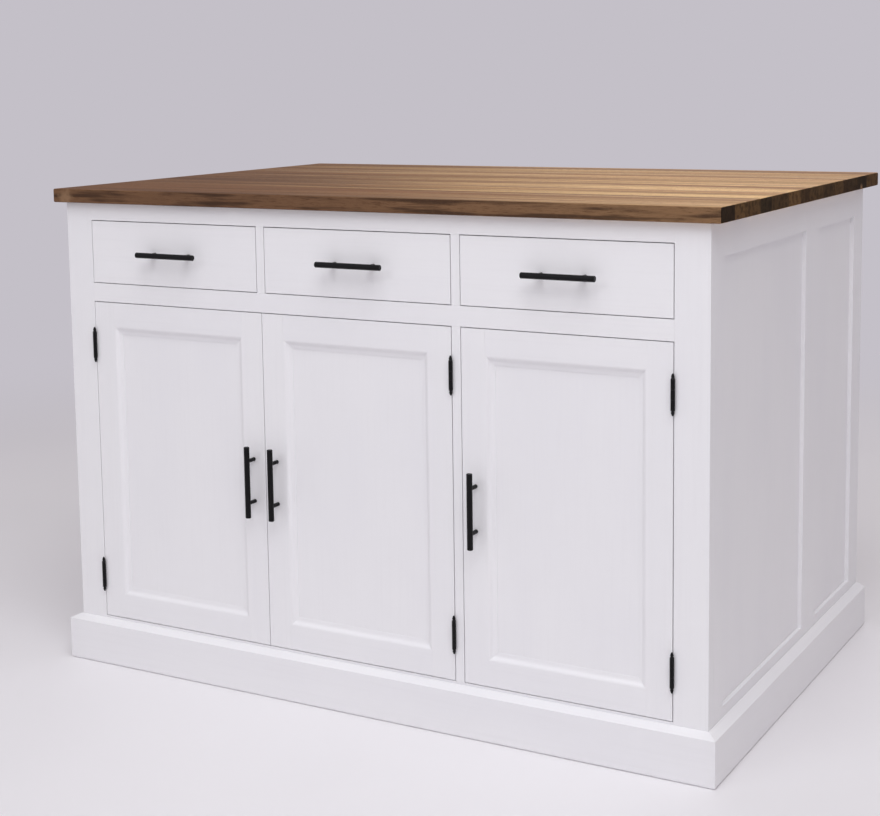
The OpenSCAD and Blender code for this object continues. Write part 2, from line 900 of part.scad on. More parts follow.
drawer_back(1);  // middle_drawer_back
drawer_bottom(1);  // middle_drawer_bottom
drawer_pull(1);  // middle_drawer_pull
drawer_screws(1);  // middle_drawer_screws
drawer_front(2);  // right_drawer_front
drawer_sides(2);  // right_drawer_sides
drawer_back(2);  // right_drawer_back
drawer_bottom(2);  // right_drawer_bottom
drawer_pull(2);  // right_drawer_pull
drawer_screws(2);  // right_drawer_screws
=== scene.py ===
# %% [markdown]
# # Dressing a painted kitchen island
#
# The island is a timber cabinet: a row of drawers over framed doors, on a plinth, under an oak worktop.
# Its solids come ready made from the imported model, in metres, with X along the front, Y from front to
# back and Z up. This script gives every board, pull and hinge its real finish, lays the worktop from
# separate staves, adds the small fasteners, and lights the whole for the camera.

import math

import bmesh
import bpy
from mathutils import Matrix, Vector, noise


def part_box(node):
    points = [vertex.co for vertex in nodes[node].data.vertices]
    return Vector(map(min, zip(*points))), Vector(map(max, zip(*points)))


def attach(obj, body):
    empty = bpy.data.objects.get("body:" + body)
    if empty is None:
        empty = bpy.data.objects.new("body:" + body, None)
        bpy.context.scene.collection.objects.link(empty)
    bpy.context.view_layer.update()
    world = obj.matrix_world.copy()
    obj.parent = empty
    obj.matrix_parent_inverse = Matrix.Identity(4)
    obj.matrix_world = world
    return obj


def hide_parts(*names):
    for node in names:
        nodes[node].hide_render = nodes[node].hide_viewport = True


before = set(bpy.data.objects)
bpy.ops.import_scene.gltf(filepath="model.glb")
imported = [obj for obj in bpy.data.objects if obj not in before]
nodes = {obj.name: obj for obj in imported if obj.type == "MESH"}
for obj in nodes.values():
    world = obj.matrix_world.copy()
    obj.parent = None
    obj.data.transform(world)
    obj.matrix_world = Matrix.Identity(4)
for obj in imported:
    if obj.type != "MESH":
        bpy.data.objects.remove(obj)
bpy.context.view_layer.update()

# %% [markdown]
# ## Units and colours
#
# Scales are worked out from real sizes, so millimetres get a name. Colours are written as the sRGB hex
# values that a paint chart gives. A shader works with linear light, so one function turns them over.

# %% Units and colours
MM = 0.001


def linear(hex_colour):
    """An sRGB hex colour as the linear values that a shader works with."""
    parts = [int(hex_colour[i : i + 2], 16) / 255 for i in (1, 3, 5)]
    curve = [c / 12.92 if c <= 0.04045 else ((c + 0.055) / 1.055) ** 2.4 for c in parts]
    return (*curve, 1.0)


print("white lacquer in linear light:", [round(c, 3) for c in linear("#F1F0F2")])

# %% [markdown]
# ## Making materials with nodes
#
# A material is a small network of nodes. Adding a node takes three things: its kind, its settings and
# what feeds its sockets. One function does all three, so each pattern below reads as a list of steps.
# A socket takes a plain value, another node's socket, or a node, which stands for its first output.

# %% One function that adds a node, and one that starts a material
def add(tree, kind, sockets=None, **settings):
    """Adds a node of a kind, sets it up and feeds its sockets, given by name or number."""
    node = tree.nodes.new(kind)
    for name, value in settings.items():
        setattr(node, name, value)
    for name, value in (sockets or {}).items():
        if isinstance(value, bpy.types.Node):
            value = value.outputs[0]
        if isinstance(value, bpy.types.NodeSocket):
            tree.links.new(value, node.inputs[name])
        else:
            node.inputs[name].default_value = value
    return node


def start_material(name, roughness, metallic=0.0):
    """A new material and its shader, with the values that are the same all over the surface."""
    made = bpy.data.materials.new(name)
    made.use_nodes = True
    shader = made.node_tree.nodes["Principled BSDF"]
    shader.inputs["Roughness"].default_value = roughness
    shader.inputs["Metallic"].default_value = metallic
    return made, made.node_tree, shader


# %% [markdown]
# ## Patterns that every finish shares
#
# Wood, paint and powder coat all vary in streaks or patches of a known size. A streak is noise that is
# stretched: the place is divided by the streak's real length and width before the noise reads it.
# Layers of stain or dirt are then laid over a base colour, each through its own mask, and masks that
# are multiplied together keep only what they share.

# %% Streaks, layers and relief
MIX_FACTOR, MIX_A, MIX_B, MIX_RESULT = 0, 6, 7, 2  # the colour sockets of a Mix node


def streaks(tree, place, length, width, start, end, strength=1.0, detail=2.0):
    """A mask of soft streaks with that length and width in millimetres. place has X along them."""
    size = (1 / (length * MM), 1 / (width * MM), 1 / (width * MM))
    scaled = add(tree, "ShaderNodeVectorMath", {0: place, 1: size}, operation="MULTIPLY")
    cloud = add(tree, "ShaderNodeTexNoise", {"Vector": scaled, "Scale": 1.0, "Detail": detail})
    limits = {"Value": cloud, "From Min": start, "From Max": end, "To Max": strength}
    return add(tree, "ShaderNodeMapRange", limits, interpolation_type="SMOOTHSTEP")


def layers(tree, base, *laid):
    """A base colour with further colours laid over it. Each comes with its mask."""
    colour = linear(base)
    for mask, shade in laid:
        sockets = {MIX_FACTOR: mask, MIX_A: colour, MIX_B: linear(shade)}
        colour = add(tree, "ShaderNodeMix", sockets, data_type="RGBA").outputs[MIX_RESULT]
    return colour


def product(tree, *factors):
    """Several masks or numbers multiplied together."""
    result = factors[0]
    for factor in factors[1:]:
        result = add(tree, "ShaderNodeMath", {0: result, 1: factor}, operation="MULTIPLY")
    return result


def relief(tree, shader, height, depth):
    """Gives the surface a relief from a height between 0 and 1, with its depth in millimetres."""
    bump = add(tree, "ShaderNodeBump", {"Height": height, "Distance": depth * MM})
    tree.links.new(bump.outputs["Normal"], shader.inputs["Normal"])


# %% [markdown]
# ## Solid timber
#
# A board is cut out of a trunk, so its grain is a solid pattern: rings round a pith that runs along the
# board, seen as long lines on its faces and as arcs on its ends. The pattern below is that trunk. Its X
# axis is turned to lie along each board, the pith is moved to a new place for every board, and a slow
# wander bends the rings, which gives the arched figure of flat-sawn timber.

# %% Rings, pores and the ends of boards
ALONG = {"X": ("X", "Y", "Z"), "Y": ("Y", "X", "Z"), "Z": ("Z", "X", "Y")}
PITH_START = (0.0, -0.06, -0.085)  # the least that a board's pith is moved, in metres
PITH_SPREAD = (7.0, 0.12, 0.05)  # and how much further chance can move it
WANDER_WAVES = (1.8, 9.0, 9.0)  # waves to the metre in the wander, along the grain and across


def turned(tree, vector, along):
    """A vector with its axes in a new order, so that X lies along the grain."""
    parts = add(tree, "ShaderNodeSeparateXYZ", {0: vector})
    order = {i: parts.outputs[axis] for i, axis in enumerate(ALONG[along])}
    return add(tree, "ShaderNodeCombineXYZ", order)


def board_number(tree, place, width):
    """The number of the board across the grain, for panels glued from boards of that width."""
    across = add(tree, "ShaderNodeSeparateXYZ", {0: place}).outputs["Y"]
    boards = add(tree, "ShaderNodeMath", {0: across, 1: 1 / (width * MM)}, operation="MULTIPLY")
    return add(tree, "ShaderNodeMath", {0: boards}, operation="FLOOR")


def trunk(tree, place, number, ring, wander):
    """Rings of that spacing in millimetres, from 0 in the early wood to 1 in the late wood."""
    chance = add(tree, "ShaderNodeTexWhiteNoise", {"W": number}, noise_dimensions="1D")
    shift = {0: chance.outputs["Color"], 1: PITH_SPREAD, 2: PITH_START}
    pith = add(tree, "ShaderNodeVectorMath", shift, operation="MULTIPLY_ADD")
    moved = add(tree, "ShaderNodeVectorMath", {0: place, 1: pith})
    slow = add(tree, "ShaderNodeVectorMath", {0: moved, 1: WANDER_WAVES}, operation="MULTIPLY")
    cloud = add(tree, "ShaderNodeTexNoise", {"Vector": slow, "Scale": 1.0, "Detail": 3.0})
    bend = {0: cloud.outputs["Color"], 1: (0.0, wander * MM, wander * MM), 2: moved}
    bent = add(tree, "ShaderNodeVectorMath", bend, operation="MULTIPLY_ADD")
    flat = add(tree, "ShaderNodeVectorMath", {0: bent, 1: (0.0, 1.0, 1.0)}, operation="MULTIPLY")
    radius = add(tree, "ShaderNodeVectorMath", {0: flat}, operation="LENGTH").outputs["Value"]
    turns = add(tree, "ShaderNodeMath", {0: radius, 1: 1 / (ring * MM)}, operation="MULTIPLY")
    part = add(tree, "ShaderNodeMath", {0: turns}, operation="FRACT")
    late = {"Value": part, "From Min": 0.25, "From Max": 0.95}
    return chance, moved, add(tree, "ShaderNodeMapRange", late, interpolation_type="SMOOTHSTEP")


def facing(tree, axis, strength, start=0.55, end=0.85):
    """A mask of the faces that look along one axis of the object."""
    normal = add(tree, "ShaderNodeTexCoord").outputs["Normal"]
    along = add(tree, "ShaderNodeSeparateXYZ", {0: normal}).outputs[axis]
    size = add(tree, "ShaderNodeMath", {0: along}, operation="ABSOLUTE")
    limits = {"Value": size, "From Min": start, "From Max": end, "To Max": strength}
    return add(tree, "ShaderNodeMapRange", limits, interpolation_type="SMOOTHSTEP")


# %% [markdown]
# ## White lacquer on timber
#
# The cabinet is solid timber, sprayed with satin white lacquer and rubbed down by hand. To the eye that
# is a clean, faintly cool white with a broad soft sheen. Close up the lacquer has a fine orange peel,
# the fibres under it show as the faintest lines, and the coat is a little thicker in patches. Lacquer
# has an IOR of about 1.5, which is the shader's own value, and satin is a roughness near 0.4.

# %% White lacquer, one material for each way that a board can lie
def white_lacquer(along):
    made, tree, shader = start_material(f"sprayed_white_lacquer_{along.lower()}", 0.42)
    place = turned(tree, add(tree, "ShaderNodeTexCoord").outputs["Object"], along)
    thick = streaks(tree, place, 420, 160, 0.35, 0.7, 0.8)
    fibres = streaks(tree, place, 160, 4.5, 0.45, 0.8, 0.1)
    colour = layers(tree, "#F3F2F4", (thick, "#F0EFF2"), (fibres, "#E3E1E4"))
    tree.links.new(colour, shader.inputs["Base Color"])
    # Real orange peel is about 1.5 mm across, and is drawn at 2.5 mm so that it shows
    peel = streaks(tree, place, 2.5, 2.5, 0.3, 0.7)
    height = add(tree, "ShaderNodeMath", {0: fibres, 1: 1.4, 2: peel}, operation="MULTIPLY_ADD")
    relief(tree, shader, height, 0.015)
    return made


LACQUER = {along: white_lacquer(along) for along in ALONG}
print("lacquers:", [made.name for made in LACQUER.values()])

# %% [markdown]
# ## Bare pine
#
# The inside of such a cabinet is planed pine, glued up from narrow boards and left under a thin clear
# coat. Pine has wide pale early wood and narrow honey-coloured late wood, so its rings show clearly, and
# each board in a panel has its own tone. Its ends soak up more of the coat and look darker.

# %% Planed pine
PINE_RING = 3.2  # a slow-grown pine adds 2 to 4 mm a year
PINE_BOARD = 95  # width of the boards in a glued panel


def planed_pine(along):
    made, tree, shader = start_material(f"planed_pine_{along.lower()}", 0.5)
    place = turned(tree, add(tree, "ShaderNodeTexCoord").outputs["Object"], along)
    number = board_number(tree, place, PINE_BOARD)
    chance, own, rings = trunk(tree, place, number, PINE_RING, 26)
    pale = streaks(tree, own, 260, 22, 0.4, 0.7, 0.5)
    fibres = streaks(tree, own, 45, 1.6, 0.45, 0.75, 0.35, 3.0)
    ends = facing(tree, along, 0.5)
    colour = layers(
        tree,
        "#DDC398",
        (product(tree, chance, 0.45), "#CDAA78"),
        (pale, "#E3CDA6"),
        (product(tree, rings, 0.5), "#BC8E58"),
        (fibres, "#B58A58"),
        (ends, "#A67C4C"),
    )
    tree.links.new(colour, shader.inputs["Base Color"])
    height = add(tree, "ShaderNodeMath", {0: rings, 1: 0.6, 2: fibres}, operation="MULTIPLY_ADD")
    relief(tree, shader, height, 0.05)
    return made


PINE = {along: planed_pine(along) for along in ALONG}
print("pines:", [made.name for made in PINE.values()])

# %% [markdown]
# ## Stained oak
#
# The worktop is oak, glued up from full-length staves, brushed so that the grain stands out, stained
# brown and oiled. Each stave takes the stain in its own way, so the top is a row of lighter and darker
# bands with long streaks. Over that, the whole top is painted darker towards its left end and its front.
# This is painted shade, standing for a darker part of the room reflected in the top. The pores hold the
# most stain and read as fine dark dashes. The edges are darker than the top, with black-brown streaks,
# and the sawn ends, which drink the stain, are almost black. Two staves keep a scrap of pale sapwood at
# one end. Oil leaves oak much duller than lacquer does: its roughness is about 0.6, and its gloss is
# low.

# %% Oak for the worktop
OAK_RING = 2.6  # oak for furniture adds 2 to 3 mm a year
OILED_ROUGHNESS, SAWN_ROUGHNESS = 0.6, 0.95
PORE = (16, 1.1)  # pores are about 0.3 mm wide, and are drawn at 1.1 mm so that they show
RAGGED_SIZE = 11  # size of the ragged detail round a patch of sapwood, in mm
SAPWOOD = (((-0.620, -0.446, 0.884), 24), ((0.65, 0.335, 0.877), 13))  # place in metres, radius in mm
PAINTED_SHADE_ALONG = (1.0, 0.8, 0.0)  # painted shade: the top is painted darker to the left, and more so towards the front
PAINTED_SHADE_FROM, PAINTED_SHADE_TO = 0.42, -0.72  # where it begins and ends along that direction


def patch(tree, place, centre, radius):
    """A mask of one ragged patch, with its radius in millimetres."""
    cloud = add(tree, "ShaderNodeTexNoise", {"Vector": place, "Scale": 1 / (RAGGED_SIZE * MM)})
    spread = (radius * MM, radius * MM, radius * MM)
    bent = {0: cloud.outputs["Color"], 1: spread, 2: place}
    moved = add(tree, "ShaderNodeVectorMath", bent, operation="MULTIPLY_ADD")
    aim = tuple(c + radius * MM / 2 for c in centre)  # the cloud's middle value is a half
    apart = add(tree, "ShaderNodeVectorMath", {0: moved, 1: aim}, operation="DISTANCE")
    outside, inside = 0.85 * radius * MM, 0.2 * radius * MM
    limits = {"Value": apart.outputs["Value"], "From Min": outside, "From Max": inside}
    return add(tree, "ShaderNodeMapRange", limits, interpolation_type="SMOOTHSTEP")


def stained_oak():
    made, tree, shader = start_material("brushed_stained_oak", OILED_ROUGHNESS)
    shader.inputs["Specular IOR Level"].default_value = 0.12
    place = add(tree, "ShaderNodeTexCoord").outputs["Object"]
    number = add(tree, "ShaderNodeAttribute", attribute_name="stave").outputs["Fac"]
    tone = add(tree, "ShaderNodeAttribute", attribute_name="tone").outputs["Fac"]
    chance, own, rings = trunk(tree, place, number, OAK_RING, 30)
    # Painted shade: a mask that darkens the top towards its left end and its front, as a darker room
    # reflected in it would
    along = add(tree, "ShaderNodeVectorMath", {0: place, 1: PAINTED_SHADE_ALONG}, operation="DOT_PRODUCT")
    side = along.outputs["Value"]
    limits = {"Value": side, "From Min": PAINTED_SHADE_FROM, "From Max": PAINTED_SHADE_TO, "To Max": 0.95}
    painted_shade = add(tree, "ShaderNodeMapRange", limits, interpolation_type="SMOOTHSTEP")
    broad = streaks(tree, own, 1300, 46, 0.45, 0.62, 0.6)
    pale_bands = streaks(tree, own, 1000, 32, 0.5, 0.66, 0.7)
    dark_bands = streaks(tree, own, 700, 15, 0.55, 0.7, 0.55, 3.0)
    clouded = streaks(tree, own, 420, 34, 0.42, 0.62, 0.75, 3.0)
    pores = streaks(tree, own, *PORE, 0.52, 0.72, 0.6)
    edges = facing(tree, "Y", 0.8, 0.3, 0.75)
    smoky = streaks(tree, own, 140, 11, 0.44, 0.64)
    ends = facing(tree, "X", 0.96)
    colour = layers(
        tree,
        "#F8CE92",
        (tone, "#845832"),
        (broad, "#A56F45"),
        (pale_bands, "#F4CE9E"),
        # Painted shade, darker to the left and front, with darker clouds inside it
        (painted_shade, "#785130"),
        (product(tree, painted_shade, clouded), "#50331C"),
        (dark_bands, "#553619"),
        (product(tree, rings, 0.24), "#754C2B"),
        (edges, "#745640"),
        (product(tree, edges, smoky), "#35241A"),
        (pores, "#4A2F1B"),
        (ends, "#1A1008"),
        (product(tree, ends, chance, chance), "#725535"),
        (product(tree, ends, smoky, 0.5), "#140C06"),
        *[(patch(tree, place, *sapwood), "#8A6C52") for sapwood in SAPWOOD],
    )
    tree.links.new(colour, shader.inputs["Base Color"])
    height = add(tree, "ShaderNodeMath", {0: rings, 1: -0.5, 2: 0.5}, operation="MULTIPLY_ADD")
    height = add(tree, "ShaderNodeMath", {0: pores, 1: -1.0, 2: height}, operation="MULTIPLY_ADD")
    relief(tree, shader, height, 0.25)
    dull = {"Value": ends, "To Min": OILED_ROUGHNESS, "To Max": SAWN_ROUGHNESS}
    tree.links.new(add(tree, "ShaderNodeMapRange", dull).outputs[0], shader.inputs["Roughness"])
    return made


OAK = stained_oak()
print("worktop finish:", OAK.name)

# %% [markdown]
# ## Black powder coat, zinc and plastic
#
# The pulls and hinges are steel under black powder coat, a plastic skin that is baked on. It is satin,
# with a very fine pebbled surface, and it greys slightly where hands and doors rub it. The screws,
# shelf pins and strike plates are zinc-plated steel: bright, a little cloudy, with a spangle of a few
# millimetres. The door catches are moulded white plastic, smooth with a slight flow pattern.

# %% Metals and plastic
def black_powder_coat():
    made, tree, shader = start_material("black_powder_coat", 0.42)
    shader.inputs["Specular IOR Level"].default_value = 0.2
    place = add(tree, "ShaderNodeTexCoord").outputs["Object"]
    rubbed = streaks(tree, place, 30, 30, 0.5, 0.75, 0.5)
    # The pebble of a powder coat is about 0.5 mm across, and is drawn at 1 mm so that it shows
    pebble = streaks(tree, place, 1.0, 1.0, 0.3, 0.7)
    colour = layers(tree, "#060507", (rubbed, "#100F11"), (pebble, "#0A090B"))
    tree.links.new(colour, shader.inputs["Base Color"])
    relief(tree, shader, pebble, 0.03)
    return made


def zinc_plate():
    made, tree, shader = start_material("zinc_plated_steel", 0.34, metallic=1.0)
    place = add(tree, "ShaderNodeTexCoord").outputs["Object"]
    spangle = add(tree, "ShaderNodeTexVoronoi", {"Vector": place, "Scale": 1 / (3.0 * MM)})
    cloudy = streaks(tree, place, 12, 12, 0.35, 0.7, 0.7)
    colour = layers(tree, "#C9CBCE", (spangle, "#B9BCC1"), (cloudy, "#AEB0B4"))
    tree.links.new(colour, shader.inputs["Base Color"])
    relief(tree, shader, cloudy, 0.02)
    return made


def moulded_plastic():
    made, tree, shader = start_material("moulded_white_plastic", 0.4)
    place = add(tree, "ShaderNodeTexCoord").outputs["Object"]
    flow = streaks(tree, place, 14, 5, 0.35, 0.7, 0.5)
    grain = streaks(tree, place, 0.8, 0.8, 0.3, 0.7)
    tree.links.new(layers(tree, "#EDECE8", (flow, "#E4E3DE")), shader.inputs["Base Color"])
    relief(tree, shader, grain, 0.02)
    return made


BLACK, ZINC, PLASTIC = black_powder_coat(), zinc_plate(), moulded_plastic()
print("small parts:", BLACK.name, ZINC.name, PLASTIC.name)

# %% [markdown]
# ## Which board has which finish
#
# Grain runs the long way of a board: up a stile, along a rail. So the table below gives each board of
# the cabinet its timber and the axis of its grain. The ends of the names say what a board is, which
# lets one line serve the three doors and the three drawers.

# %% Give every node its finish
FINISH = {
    "face_stiles": LACQUER["Z"],
    "face_rails": LACQUER["X"],
    "side_stiles": LACQUER["Z"],
    "side_rails": LACQUER["Y"],
    "back_stiles": LACQUER["Z"],
    "back_rails": LACQUER["X"],
    "body_panels": LACQUER["Z"],
    "plinth_front": LACQUER["X"],
    "plinth_sides": LACQUER["Y"],
    "worktop": OAK,
    "worktop_rails": PINE["X"],
    "worktop_screws": ZINC,
    "cabinet_floor": PINE["X"],
    "floor_blocks": PINE["Z"],
    "cupboard_partition": PINE["Z"],
    "shelves": PINE["X"],
    "shelf_pins": ZINC,
    "drawer_floor": PINE["X"],
    "drawer_dividers": PINE["Y"],
    "drawer_runners": PINE["Y"],
    "drawer_kickers": PINE["Y"],
    "hinge_frame_leaves": BLACK,
    "hinge_pins": BLACK,
    "door_catches": PLASTIC,
}
FINISH_BY_ENDING = {
    "_door_stiles": LACQUER["Z"],
    "_door_rails": LACQUER["X"],
    "_door_panel": LACQUER["Z"],
    "_door_pull": BLACK,
    "_door_fixings": ZINC,
    "_hinge_leaves": BLACK,
    "_drawer_front": LACQUER["X"],
    "_drawer_sides": PINE["Y"],
    "_drawer_back": PINE["X"],
    "_drawer_bottom": PINE["Y"],
    "_drawer_pull": BLACK,
    "_drawer_screws": ZINC,
}


def finish_of(name):
    """The finish of a node: by its full name, or else by the ending of its name."""
    if name in FINISH:
        return FINISH[name]
    return next(made for ending, made in FINISH_BY_ENDING.items() if name.endswith(ending))


for name, node in nodes.items():
    node.data.materials.clear()
    node.data.materials.append(finish_of(name))
print("finished nodes:", len(nodes))

# %% [markdown]
# ## Soft arrises
#
# No edge of a real board is perfectly sharp: sandpaper and paint round it, and that edge catches a thin
# line of light. The solids have sharp edges, so each gets a chain of modifiers, which leave its mesh as
# it is: the split points are welded, flat faces are joined, the edges are rounded, and the shading is
# weighted so that the large faces stay flat. Where two painted boards meet, only a hairline shows.

# %% Round the edges of every node
ROUNDING = {  # in millimetres, by finish
    "sprayed_white_lacquer": 0.35,
    "planed_pine": 0.6,
    "black_powder_coat": 0.3,
    "zinc_plated_steel": 0.25,
    "moulded_white_plastic": 0.8,
    "brushed_stained_oak": 1.0,
}
PLINTH_ROUNDING = 0.8


def soften(piece, width):
    """Rounds the edges of a piece by that width in millimetres, with modifiers alone."""
    piece.modifiers.new("weld", "WELD").merge_threshold = 0.01 * MM
    joined = piece.modifiers.new("flat_faces", "DECIMATE")
    joined.decimate_type = "DISSOLVE"
    joined.angle_limit = math.radians(0.5)
    edge = piece.modifiers.new("arris", "BEVEL")
    edge.width, edge.segments = width * MM, 2
    edge.limit_method, edge.angle_limit = "ANGLE", math.radians(35)
    piece.modifiers.new("shading", "WEIGHTED_NORMAL").weight = 100


for name, node in nodes.items():
    finish = next(f for f in ROUNDING if finish_of(name).name.startswith(f))
    soften(node, PLINTH_ROUNDING if name.startswith("plinth") else ROUNDING[finish])
print("rounded nodes:", len(nodes))

# %% [markdown]
# ## Laying the worktop
#
# A slab with a picture of boards on it never looks like joinery, so the top is laid from real staves.
# Each is swept along X from a cross-section: flat sides where it is glued, a fine V at each joint, and
# a hand-eased edge where it is open. The outer edges wander by under a millimetre, as a brushed edge
# does, and always inwards, so the top keeps its size. Each stave's number and tone are stored on its
# points, and the oak finish reads them to give that stave its own rings and its own depth of stain.

# %% The worktop's staves
STAVES = (  # width in millimetres and how dark the stain has come out, from front to back
    (62, 0.52),
    (48, 0.65),
    (74, 0.80),
    (55, 0.05),
    (90, 0.25),
    (66, 0.10),
    (52, 0.75),
    (80, 0.30),
    (58, 0.55),
    (70, 0.20),
    (95, 0.60),
    (64, 0.35),
    (86, 0.85),
)
STATION = 20 * MM  # distance between the sections along a stave
JOINT_V = 0.35 * MM  # depth of the V where two staves meet
EASE = 1.6 * MM  # size of the eased outer edges
EASE_RUN, EASE_DIP = 1.4, 0.45  # where an eased edge meets the flat, and its middle corner, in sizes
RAGGED = 0.7 * MM  # how far a brushed edge wanders
RAGGED_WAVE = 35 * MM  # length of its waves

top_low, top_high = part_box("worktop")


def ragged(x, seed):
    """How far the edge lies inwards at a place along it."""
    wave = noise.noise(Vector((x / RAGGED_WAVE, seed, 0.0)))
    return RAGGED * min(1.0, abs(wave) * 1.6)  # this noise seldom passes 0.6


def stave_section(x, y0, y1, first, last, inset):
    """The outline of a stave at one station. first and last say whether its sides are open."""
    low, high = top_low.z + inset, top_high.z - inset
    front = y0 + (ragged(x, 1.0) + inset if first else 0.0)
    back = y1 - (ragged(x, 2.0) + inset if last else 0.0)
    ease_front = EASE if first else JOINT_V
    ease_back = EASE if last else JOINT_V
    return [
        (x, front, low + ease_front),
        (x, front + ease_front * EASE_DIP, low + ease_front * EASE_DIP / 2),
        (x, front + ease_front * EASE_RUN, low),
        (x, back - ease_back * EASE_RUN, low),
        (x, back - ease_back * EASE_DIP, low + ease_back * EASE_DIP / 2),
        (x, back, low + ease_back),
        (x, back, high - ease_back),
        (x, back - ease_back * EASE_DIP, high - ease_back * EASE_DIP / 2),
        (x, back - ease_back * EASE_RUN, high),
        (x, front + ease_front * EASE_RUN, high),
        (x, front + ease_front * EASE_DIP, high - ease_front * EASE_DIP / 2),
        (x, front, high - ease_front),
    ]


def lay_worktop():
    built = bmesh.new()
    number = built.verts.layers.float.new("stave")
    stain = built.verts.layers.float.new("tone")
    count = round((top_high.x - top_low.x) / STATION)
    end_steps = [(0.0, EASE), (0.4 * EASE, 0.35 * EASE), (1.2 * EASE, 0.0)]
    y = top_low.y
    for i, (width, tone) in enumerate(STAVES):
        first, last = i == 0, i == len(STAVES) - 1
        middle = [(top_low.x + STATION * k, 0.0) for k in range(1, count)]
        left = [(top_low.x + along, inset) for along, inset in end_steps]
        right = [(top_high.x - along, inset) for along, inset in reversed(end_steps)]
        rings = []
        for x, inset in left + middle + right:
            section = stave_section(x, y, y + width * MM, first, last, inset)
            rings.append([built.verts.new(point) for point in section])
        for ring in rings:
            for vert in ring:
                vert[number], vert[stain] = i + 1.0, tone
        for here, there in zip(rings, rings[1:]):
            for k in range(len(here)):
                j = (k + 1) % len(here)
                built.faces.new((here[k], here[j], there[j], there[k]))
        built.faces.new(rings[0])
        built.faces.new(reversed(rings[-1]))
        y += width * MM
    bmesh.ops.recalc_face_normals(built, faces=built.faces)
    mesh = bpy.data.meshes.new("oak_staves")
    built.to_mesh(mesh)
    built.free()
    staves = bpy.data.objects.new("oak_staves", mesh)
    bpy.context.scene.collection.objects.link(staves)
    mesh.materials.append(OAK)
    return staves


staves = lay_worktop()
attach(staves, "cabinet")
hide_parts("worktop")
print("staves:", len(STAVES), "faces:", len(staves.data.polygons))
print("widths add up to", sum(w for w, _ in STAVES), "mm of", round((top_high.y - top_low.y) / MM, 1))

# %% [markdown]
# ## Hinge screws
#
# Each hinge leaf is let into the wood and held by three countersunk screws, which show when a door
# stands open. A screw's head is turned from a profile. The cross in it is made by the same turning: the
# ring that rims the recess comes nearer to the middle everywhere but in the four arms.

# %% Countersunk screws in the hinge leaves
LEAF_H = 46 * MM
LEAF_FACE = 0.35 * MM  # from the pin's axis to the face of a leaf
FACE_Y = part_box("face_stiles")[0].y
SCREW_PLACES = ((5.5 * MM, -15 * MM), (11.0 * MM, 0.0), (5.5 * MM, 15 * MM))  # back from the face, up
HEAD_R, HEAD_PROUD, RECESS = 2.3 * MM, 0.08 * MM, 0.6 * MM
RIM, ARM_REACH = 0.42, 1.6  # radius of the recess as a share of the head, and times that in the arms
HEAD_PROFILE = ((0.2, -RECESS), (RIM, HEAD_PROUD), (0.9, HEAD_PROUD), (1.0, -HEAD_PROUD))
AROUND = 24  # points round a head, six to each arm


def turn_head(built, centre, side):
    """A screw head whose face looks along X to the side -1 or 1."""
    rings = []
    for radius, height in HEAD_PROFILE:
        ring = []
        for k in range(AROUND):
            angle = 2 * math.pi * k / AROUND
            in_arm = (k + 1) % (AROUND // 4) < 3
            spread = radius * (ARM_REACH if in_arm and radius == RIM else 1.0) * HEAD_R
            y, z = spread * math.cos(angle), spread * math.sin(angle)
            ring.append(built.verts.new(centre + Vector((side * height, y, z))))
        rings.append(ring)
    for here, there in zip(rings, rings[1:]):
        for k in range(AROUND):
            j = (k + 1) % AROUND
            built.faces.new((here[k], here[j], there[j], there[k]))
    built.faces.new(rings[0])
    built.faces.new(rings[-1])


def hinge_screws(name, body, hinges):
    """One piece with the screws of several leaves. A hinge is its pin's place and the leaf's side."""
    built = bmesh.new()
    for pin, side in hinges:
        for back, up in SCREW_PLACES:
            centre = Vector((pin.x + side * LEAF_FACE, FACE_Y + back, pin.z + up))
            turn_head(built, centre, -side)
    bmesh.ops.recalc_face_normals(built, faces=built.faces)
    mesh = bpy.data.meshes.new(name)
    built.to_mesh(mesh)
    built.free()
    screws = bpy.data.objects.new(name, mesh)
    bpy.context.scene.collection.objects.link(screws)
    mesh.materials.append(ZINC)
    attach(screws, body)


in_frame = []
for door, frame_side in (("left_door", -1), ("middle_door", 1), ("right_door", 1)):
    low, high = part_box(f"{door}_hinge_leaves")
    # The knuckle reaches further than the leaf, on both sides of the pin's axis
    pin_x = (low.x + high.x) / 2
    pins = [Vector((pin_x, 0.0, z)) for z in (low.z + LEAF_H / 2, high.z - LEAF_H / 2)]
    hinge_screws(f"{door}_hinge_screws", door, [(pin, -frame_side) for pin in pins])
    in_frame += [(pin, frame_side) for pin in pins]
hinge_screws("cabinet_hinge_screws", "cabinet", in_frame)
print("hinge screws:", 2 * len(in_frame) * len(SCREW_PLACES))

# %% [markdown]
# ## Floor and background
#
# The cabinet stands on a plain pale floor. Round it the floor fades to the grey of a studio wall, by the
# distance from the middle, so there is no wall to stand in the way of a view from behind. That grey is
# shown only to the camera and to reflections: everything else sees an ordinary matt floor.

# %% Floor and background
FLOOR_COLOUR, WALL_COLOUR = "#F0EEF0", "#C4C0C8"
FLOOR_RADIUS = 30.0
FADE_START, FADE_END = 1.5, 3.6


def seen_directly(tree):
    """1 for rays from the camera, a reflection or glass, and 0 for rays that carry light."""
    ray = add(tree, "ShaderNodeLightPath").outputs
    direct = ray["Is Camera Ray"]
    for kind in ("Is Glossy Ray", "Is Transmission Ray"):
        direct = add(tree, "ShaderNodeMath", {0: direct, 1: ray[kind]}, operation="MAXIMUM")
    return direct


